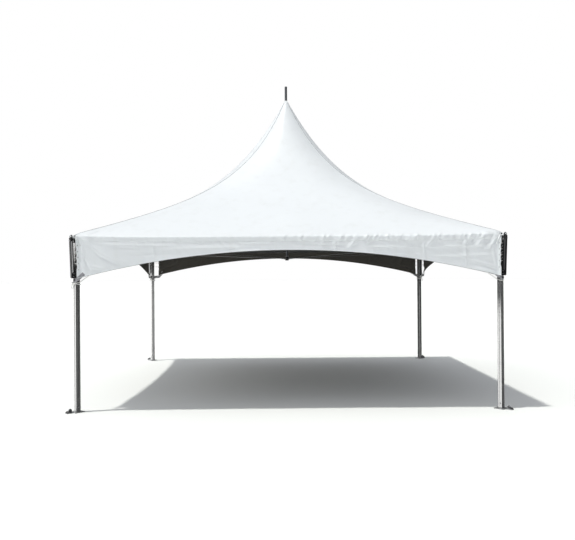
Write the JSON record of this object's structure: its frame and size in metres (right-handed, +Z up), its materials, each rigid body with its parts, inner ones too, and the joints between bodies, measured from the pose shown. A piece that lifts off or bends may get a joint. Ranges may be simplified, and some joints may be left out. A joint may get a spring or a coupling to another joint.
{
  "type": "marquee tent",
  "caption": "Square high-peak marquee tent: white fabric roof drawn up to a centre mast on crossed cables, arched valances, and metal legs with base plates.",
  "frame": {"origin": "on the floor, under the mast, at the middle of the square plan", "axes": "+Z up; the front faces -Y, and +X is to the right seen from the front"},
  "size_m": [6.3822, 6.3822, 5.445],
  "materials": {
    "galvanised_steel": "dull galvanised, scuffed",
    "aluminium_profile": "mill finish extrusion, satin",
    "aluminium_arm": "satin, darker",
    "dark_steel": "dark zinc and paint, worn",
    "bracket_casting": "grey casting",
    "wire_rope": "twisted wire",
    "mast_tube": "blue-grey",
    "canopy_fabric": "white coated fabric with a soft sheen",
    "hem_rope": "pale braided rope"
  },
  "bodies": {
    "root": {"base_plate_front_left": "galvanised_steel", "base_plate_front_right": "galvanised_steel", "base_plate_back_right": "galvanised_steel", "base_plate_back_left": "galvanised_steel", "leg_front_left": "aluminium_profile", "leg_front_right": "aluminium_profile", "leg_back_right": "aluminium_profile", "leg_back_left": "aluminium_profile", "anchor_shackle_front_left": "dark_steel", "anchor_shackle_front_right": "dark_steel", "anchor_shackle_back_right": "dark_steel", "anchor_shackle_back_left": "dark_steel", "arm_shoe_front_left": "dark_steel", "arm_shoe_front_right": "dark_steel", "arm_shoe_back_right": "dark_steel", "arm_shoe_back_left": "dark_steel", "corner_arm_front_left": "aluminium_arm", "corner_arm_front_right": "aluminium_arm", "corner_arm_back_right": "aluminium_arm", "corner_arm_back_left": "aluminium_arm", "corner_bracket_front_left": "bracket_casting", "corner_bracket_front_right": "bracket_casting", "corner_bracket_back_right": "bracket_casting", "corner_bracket_back_left": "bracket_casting", "cross_cable_front_left": "wire_rope", "cross_cable_front_right": "wire_rope", "cross_cable_back_right": "wire_rope", "cross_cable_back_left": "wire_rope", "hem_rope_front_left": "hem_rope", "hem_rope_front_right": "hem_rope", "hem_rope_back_right": "hem_rope", "hem_rope_back_left": "hem_rope", "eave_beam_front": "aluminium_profile", "eave_beam_right": "aluminium_profile", "eave_beam_back": "aluminium_profile", "eave_beam_left": "aluminium_profile", "mast_hub": "bracket_casting", "centre_mast": "mast_tube", "crown_ring": "bracket_casting", "roof_panel_front": "canopy_fabric", "roof_panel_right": "canopy_fabric", "roof_panel_back": "canopy_fabric", "roof_panel_left": "canopy_fabric", "valance_front": "canopy_fabric", "valance_right": "canopy_fabric", "valance_back": "canopy_fabric", "valance_left": "canopy_fabric"}
  },
  "joints": []
}
